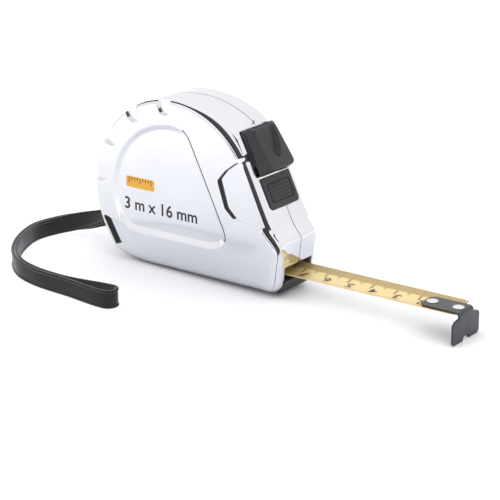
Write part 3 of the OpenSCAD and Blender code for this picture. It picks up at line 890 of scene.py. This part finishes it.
def make_lock_plate():
    """Flat plate below the thumb button, with plain raised ribs."""
    outline = oblong(PLATE_HALF, PLATE_U0, PLATE_U1, [0.3, 0.3, 1.8, 1.8])
    plate = deck_tool(outline, [(0.0, -0.95), (0.0, 0.02), (0.1, 0.16), (0.3, 0.24)], CHARCOAL)
    sunk = oblong(7.2, PLATE_U0 + 2.6, PLATE_U1 - 2.4, 1.0)
    carve(plate, deck_tool(sunk, [(-0.15, 1), (-0.05, 0.24), (0.15, -0.2), (0.25, -0.25)],
                           CHARCOAL))
    parts = [plate]
    for k in range(5):
        u = PLATE_U0 + 3.25 + 1.35 * k
        rib = oblong(6.3, u, u + 0.75, 0.3, 4)
        parts.append(deck_tool(rib, [(0, -0.4), (0, 0.04), (0.12, 0.16), (0.26, 0.2)], CHARCOAL))
    plate = join("lock_cover", parts)
    shade(plate, 40)
    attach(plate, "case")
    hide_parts("lock_plate")


def button_top(y, u):
    """Height of the thumb button over the deck, with its shield-shaped dish."""
    base = 3.5 + 2.3 * (u / BUTTON_L) - 0.3 * (y / 7.8) ** 2
    half = 5.5 * math.sqrt(max(0.0, 1 - max(0.0, (u - 1.0) / 12.8) ** 1.7)) if u < 13.8 else 0.0
    inside = smooth_step((half - abs(y)) / 0.9)
    return base - inside * (0.9 + 0.9 * min(max(u / 11.0, 0.0), 1.0))


def finer(outline, parts):
    """The outline with each side cut into its number of parts."""
    return np.array([a + (b - a) * s / m for a, b, m in
                     zip(outline, np.roll(outline, -1, 0), parts) for s in range(m)])


def make_button():
    """Wide foot, narrower head, a rounded rim and a dished top."""
    low = BUTTON_W / 2 - 0.1
    foot = oblong(low, 0.3, BUTTON_L, [1.6, 1.6, 1.2, 1.2], 9)
    head = rounded([(-7.2, 1.2), (7.2, 1.2), (8.2, BUTTON_L - 0.5), (-8.2, BUTTON_L - 0.5)],
                   [1.6, 1.6, 2.2, 2.2], 9)
    parts = [max(1, int(np.linalg.norm(b - a) / 0.45))
             for a, b in zip(head, np.roll(head, -1, 0))]
    foot, head = finer(foot, parts), finer(head, parts)
    into = inward(head)
    middle = np.array([0.0, 8.8])
    edge = 0.85
    rings = []
    for share, n in ((0.04, 0.45), (0.0, 0.6), (0.0, 1.5)):
        rings.append([on_deck(n, *(f + (h - f) * share)) for f, h in zip(foot, head)])
    for share in (0.12, 0.3, 0.55, 0.8, 1.0):
        rings.append([on_deck(1.7 + (button_top(*h) - edge - 1.7) * share ** 0.8,
                              *(f + (h - f) * (0.25 + 0.75 * share)))
                      for f, h in zip(foot, head)])
    for t in np.radians([18, 36, 54, 72, 90]):
        ring = head + into * (edge * (1 - math.cos(t)))
        rings.append([on_deck(button_top(*p) - edge * (1 - math.sin(t)), *p) for p in ring])
    last = head + into * edge
    for s in np.linspace(0, 1, 33)[1:-1]:
        rings.append([on_deck(button_top(*p), *p) for p in last + (middle - last) * s])
    cap = stack("cap", rings, CHARCOAL, poles=(None, on_deck(button_top(*middle), *middle)))
    skirt = oblong(low, 0.3, BUTTON_L - TRAVEL - 0.1, [1.6, 1.6, 0.8, 0.8])
    base = deck_tool(skirt, [(0.4, -2.7), (0.0, -2.3), (0, 0.9)], CHARCOAL)
    stem = deck_tool(oblong(2.6, 4.0, 9.0, 0.5, 4), [(0, -5.45), (0, -1.0)], CHARCOAL)
    button = join("thumb_button", [cap, base, stem])
    shade(button, 40, 50)
    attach(button, "button")
    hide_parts("lock_button")


make_guard()
make_lock_plate()
make_button()

# ---------------------------------------------------------------- blade, scale and hook


def hollow_height(y):
    return HOLLOW_Z - math.sqrt(HOLLOW_R ** 2 - y * y)


def make_blade():
    """Thin strip, hollow across its width, with cut corners at the hook."""
    columns = np.linspace(-BLADE_HALF, BLADE_HALF, 33)
    rows = 40
    top, low = [], []
    for j in range(rows + 1):
        for y in columns:
            end = BLADE_X1 - max(0.0, abs(y) - (BLADE_HALF - 2.83))
            x = BLADE_X0 + (end - BLADE_X0) * j / rows
            z = hollow_height(y)
            tilt = math.asin(y / HOLLOW_R)
            top.append((x, y, z))
            low.append((x, y + BLADE_T * math.sin(tilt), z - BLADE_T * math.cos(tilt)))
    m, n = len(columns), len(top)
    faces = []
    for j in range(rows):
        for i in range(m - 1):
            a, b, c, d = j * m + i, j * m + i + 1, (j + 1) * m + i + 1, (j + 1) * m + i
            faces += [(a, b, c, d), (n + d, n + c, n + b, n + a)]
        for i in (0, m - 1):
            a, d = j * m + i, (j + 1) * m + i
            faces.append((a, d, n + d, n + a))
    for j in (0, rows):
        for i in range(m - 1):
            a, b = j * m + i, j * m + i + 1
            faces.append((a, b, n + b, n + a))
    blade = face_out(piece("drawn_blade", top + low, faces, LACQUER))
    shade(blade, 45, 50)
    blade.visible_diffuse = False
    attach(blade, "blade")
    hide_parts("blade")


def make_marks_tree():
    """Marks in a row along the blade, bent down onto its hollow."""
    tree = bpy.data.node_groups.new("blade_marks", "GeometryNodeTree")
    face, new, link = tree.interface, tree.nodes.new, tree.links.new
    face.new_socket("Geometry", in_out="OUTPUT", socket_type="NodeSocketGeometry")
    for label, kind in (("Mark Count", "Int"), ("Mark Pitch", "Float"), ("First Mark", "Float"),
                        ("Mark Length", "Float"), ("Mark Width", "Float"), ("Blade Edge", "Float"),
                        ("Hollow Radius", "Float"), ("Hollow Height", "Float"),
                        ("Ink Thickness", "Float"), ("Ink", "Material")):
        face.new_socket(label, in_out="INPUT", socket_type="NodeSocket" + kind)
    given, made = new("NodeGroupInput").outputs, new("NodeGroupOutput")

    def worked_out(kind, *values):
        node = new("ShaderNodeMath")
        node.operation = kind
        for socket, value in zip(node.inputs, values):
            feed(tree, socket, value)
        return node.outputs[0]

    def vector(x=0.0, y=0.0, z=0.0):
        node = new("ShaderNodeCombineXYZ")
        for socket, value in zip(node.inputs, (x, y, z)):
            feed(tree, socket, value)
        return node.outputs[0]

    row = new("GeometryNodeMeshLine")
    row.mode = "OFFSET"
    link(given["Mark Count"], row.inputs["Count"])
    link(vector(given["First Mark"]), row.inputs["Start Location"])
    link(vector(worked_out("MULTIPLY", given["Mark Pitch"], -1.0)), row.inputs["Offset"])
    mark = new("GeometryNodeMeshCube")
    mark.inputs["Vertices Y"].default_value = 9
    link(vector(given["Mark Width"], given["Mark Length"], given["Ink Thickness"]),
         mark.inputs["Size"])
    shift = new("GeometryNodeTransform")
    half = worked_out("MULTIPLY", given["Mark Length"], 0.5)
    link(mark.outputs["Mesh"], shift.inputs["Geometry"])
    link(vector(0.0, worked_out("SUBTRACT", given["Blade Edge"], half)),
         shift.inputs["Translation"])
    spread = new("GeometryNodeInstanceOnPoints")
    link(row.outputs["Mesh"], spread.inputs["Points"])
    link(shift.outputs["Geometry"], spread.inputs["Instance"])
    real = new("GeometryNodeRealizeInstances")
    link(spread.outputs["Instances"], real.inputs["Geometry"])
    where = new("ShaderNodeSeparateXYZ")
    link(new("GeometryNodeInputPosition").outputs[0], where.inputs[0])
    square = worked_out("MULTIPLY", where.outputs["Y"], where.outputs["Y"])
    reach = worked_out("MULTIPLY", given["Hollow Radius"], given["Hollow Radius"])
    sag = worked_out("SQRT", worked_out("SUBTRACT", reach, square))
    bend = new("GeometryNodeSetPosition")
    link(real.outputs["Geometry"], bend.inputs["Geometry"])
    link(vector(0.0, 0.0, worked_out("SUBTRACT", given["Hollow Height"], sag)),
         bend.inputs["Offset"])
    coat = new("GeometryNodeSetMaterial")
    link(bend.outputs["Geometry"], coat.inputs["Geometry"])
    link(given["Ink"], coat.inputs["Material"])
    link(coat.outputs["Geometry"], made.inputs["Geometry"])
    return tree


def ruled_marks(tree, **sizes):
    holder = piece("marks", [(0, 0, 0)], [])
    step = holder.modifiers.new("marks", "NODES")
    step.node_group = tree
    for item in tree.interface.items_tree:
        if item.in_out == "INPUT":
            step[item.identifier] = sizes[item.name.replace(" ", "_").lower()]
    return settle(holder)


def figure(digit, x, y):
    """A flat number on the hollow, read from the far side."""
    def on_hollow(p):
        px, py = x - p.x / MM, y - p.y / MM
        return Vector((px * MM, py * MM, hollow_height(py) * MM + p.z))

    return lettering(digit, 6.0, 0.00004, 0.00008, "CENTER", 5, INK, on_hollow)


def make_scale():
    """Marks each millimetre, half centimetre and centimetre from the hook, and figures."""
    tree = make_marks_tree()
    last = int(HOOK_X - BLADE_X0 - 1)
    parts = []
    for count, pitch, first, length, width in (
        (last - 2, 1, 3, 0.0031, 0.00042),
        (last // 5, 5, 5, 0.0044, 0.00046),
        (last // 10, 10, 10, 0.0062, 0.0005),
    ):
        parts.append(ruled_marks(
            tree, mark_count=count, mark_pitch=pitch * MM, first_mark=(HOOK_X - first) * MM,
            mark_length=length, mark_width=width, blade_edge=(BLADE_HALF - 0.12) * MM,
            hollow_radius=HOLLOW_R * MM, hollow_height=HOLLOW_Z * MM, ink_thickness=0.00005,
            ink=INK))
    for n in range(2, 8):
        parts.append(figure(str(n), HOOK_X - 10 * n + 2.3, -0.2))
    scale = join("blade_scale", parts)
    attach(scale, "blade")


def make_hook():
    """Sheet hook: strap on the blade, a tight bend and the face plate with its notch."""
    top = STRAP_LO + HOOK_T
    low = top - HOOK_DROP
    outer, inner = 1.5, 0.7
    x_back, x_bend = HOOK_X - 16, HOOK_X + HOOK_T - outer
    plan = rounded([(x_back, -NECK + 1.7), (x_back + 1.7, -NECK), (x_bend, -NECK),
                    (x_bend, NECK), (x_back + 1.7, NECK), (x_back, NECK - 1.7)],
                   [0.7, 1.2, 0, 0, 1.2, 0.7], 5)
    strap = stack("strap", [[(*p, z) for p in plan] for z in (STRAP_LO, top)], HOOK_STEEL)
    arc = [(x_bend + r * math.sin(t), top - outer + r * math.cos(t))
           for r, way in ((outer, 1), (inner, -1))
           for t in np.linspace(0, math.pi / 2, 9)[::way]]
    bend = stack("bend", [on_side(arc, y) for y in (-NECK, NECK)], HOOK_STEEL)
    right = [(2.2, low), (FACE_HALF, low), (FACE_HALF, top - 3.6), (FACE_HALF - 1.4, top - 2.5),
             (NECK, top - 2.1), (NECK, top - outer)]
    notch = [(-1.7, low + 1.5), (1.7, low + 1.5)]
    radii = [0.35, 1.3, 0.8, 0.7, 0.7, 0]
    outline = rounded([(-y, z) for y, z in right[::-1]] + notch + right,
                      radii[::-1] + [0.6, 0.6] + radii, 5)
    face = along_x(outline, HOOK_X, HOOK_X + HOOK_T, HOOK_STEEL)
    hook = carve(carve(strap, bend, "UNION"), face, "UNION")
    hook.name = "blade_hook"
    for x in RIVET_SPOTS:
        slot = [(HOOK_X - x + a, b) for a, b in oblong(1.68, -1.17, 1.17, 1.15)]
        carve(hook, stack("tool", [[(*p, z) for p in slot] for z in (4, 9)], HOOK_STEEL))
    soften(hook, 0.16, 2, 40)
    shade(hook, 35)
    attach(hook, "hook")
    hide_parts("end_hook")


def make_rivets():
    """Two rivets through blade and hook, with a flat head below and a dome above."""
    under, over = BLADE_MID - BLADE_T, STRAP_LO + HOOK_T
    foot, crown = under - 0.48, over + 0.53
    profile = [(0.9, under - 0.46), (1.5, under - 0.36), (1.8, under - 0.12), (1.8, under),
               (1.1, under), (1.1, over + 0.05), (2.1, over + 0.05), (2.12, over + 0.16),
               (1.95, over + 0.32), (1.5, over + 0.43), (0.8, over + 0.51)]
    parts = []
    for spot in RIVET_SPOTS:
        x = HOOK_X - spot
        rings = [[(*p, z) for p in circle(x, 0, r, 40)] for r, z in profile]
        parts.append(stack("rivet", rings, NICKEL, poles=((x, 0, foot), (x, 0, crown))))
    rivets = join("domed_rivets", parts)
    shade(rivets, 50, 50)
    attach(rivets, "blade")
    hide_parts("hook_rivets")


make_blade()
make_scale()
make_hook()
make_rivets()

# ---------------------------------------------------------------- plain CAD nodes

for name, material in (
    ("case_screws", TURNED), ("centre_post", TURNED), ("lever_pin", TURNED),
    ("strap_bar", TURNED), ("blade_lead", LACQUER), ("reel_drum", REEL), ("reel_lid", REEL),
    ("blade_coil", LACQUER), ("power_spring", BLUED), ("spring_washer", WASHER),
    ("lock_slider", REEL), ("brake_lever", BLUED), ("brake_pad", RUBBER),
    ("lever_spring", TURNED),
):
    nodes[name].data.materials.clear()
    nodes[name].data.materials.append(material)

# ---------------------------------------------------------------- studio


def floor_height(x):
    return FLOOR_FALL * (x - HEEL_X)


def make_floor():
    """A pale floor that meets the base's heel and the hook's tip."""
    grid = [(x, y, floor_height(x)) for x in (-3000, 3000) for y in (-3000, 3000)]
    floor = piece("floor", grid, [(0, 2, 3, 1)],
                  finish("pale_floor", (0.88, 0.88, 0.885), (0.87, 0.87, 0.88), (0.2, 0.26),
                         smudge=3, Specular_IOR_Level=0.35))


def aim(thing, spot, target):
    """Stands a lamp or a card at the spot, turned to the target."""
    thing.location = spot
    thing.rotation_mode = "QUATERNION"
    thing.rotation_quaternion = (Vector(target) - Vector(spot)).to_track_quat("-Z", "Y")


def soft_light(name, spot, target, size, power):
    lamp = bpy.data.lights.new(name, "AREA")
    lamp.shape, lamp.size, lamp.size_y, lamp.energy = "RECTANGLE", *size, power
    holder = bpy.data.objects.new(name, lamp)
    holder.visible_glossy = False
    aim(holder, spot, target)
    scene.collection.objects.link(holder)


def only_in_reflections(card):
    card.visible_camera = card.visible_shadow = card.visible_diffuse = False


def dark_card(name, spot, target, size, shade_of=0.01):
    """A dark panel that only shows in the plating's reflections."""
    w, h = size
    card = piece(name, [(-w, -h, 0), (w, -h, 0), (w, h, 0), (-w, h, 0)], [(0, 1, 2, 3)],
                 finish(name, (shade_of,) * 3, (shade_of * 1.2,) * 3, (0.8, 0.9)))
    aim(card, spot, target)
    only_in_reflections(card)


def floor_sheen():
    """A painted reflection of the floor for the plating to see: painted shade makes it greyer
    close by, paler further out.
    """
    grid = [(x, y, floor_height(x) + 0.4) for x in (-900, 600) for y in (-1000, 600)]
    material = finish("floor_sheen", (0.64, 0.65, 0.69), (0.93, 0.93, 0.94), (0.8, 0.9))
    tree = material.node_tree
    away = tree.nodes.new("ShaderNodeVectorMath")
    away.operation = "LENGTH"
    tree.links.new(tree.nodes["Texture Coordinate"].outputs["Object"], away.inputs[0])
    paler = map_range(tree, away.outputs["Value"], 0.03, 0.2, 0.0, 1.0)
    tree.links.new(paler, tree.nodes["Mix"].inputs["Factor"])
    only_in_reflections(piece("floor_sheen", grid, [(0, 2, 3, 1)], material))


def light_studio():
    """A white room with three soft lamps, and two dark cards for the plating to mirror."""
    world = bpy.data.worlds.new("white_room")
    scene.world = world
    world.use_nodes = True
    tree = world.node_tree
    sky = tree.nodes["Background"].inputs
    sky["Strength"].default_value = 1.0
    split = tree.nodes.new("ShaderNodeSeparateXYZ")
    tree.links.new(tree.nodes.new("ShaderNodeTexCoord").outputs["Generated"], split.inputs[0])
    ramp = tree.nodes.new("ShaderNodeValToRGB")
    tree.links.new(split.outputs["Z"], ramp.inputs["Fac"])
    ends = ramp.color_ramp.elements
    ends[0].position, ends[0].color = 0.0, (1, 1, 1, 1)
    ends[1].position, ends[1].color = 1.0, (1.12, 1.12, 1.14, 1)
    tree.links.new(ramp.outputs["Color"], sky["Color"])
    middle = (0.01, 0, 0.03)
    soft_light("key", (-0.5, -0.9, 1.1), middle, (0.9, 0.9), 3.6)
    soft_light("top", (0.1, 0.3, 1.3), middle, (1.2, 1.2), 4.4)
    soft_light("right", (1.1, -0.2, 0.5), middle, (0.5, 0.8), 1.2)
    dark_card("card_behind", (0.235, 0.786, 0.64), (0.02, 0, 0.06), (120, 45))
    dark_card("card_front", (0.52, -0.64, 0.63), (0.01, -0.01, 0.06), (260, 110), 0.05)
    floor_sheen()


make_floor()
light_studio()
scene.view_settings.view_transform = "Standard"
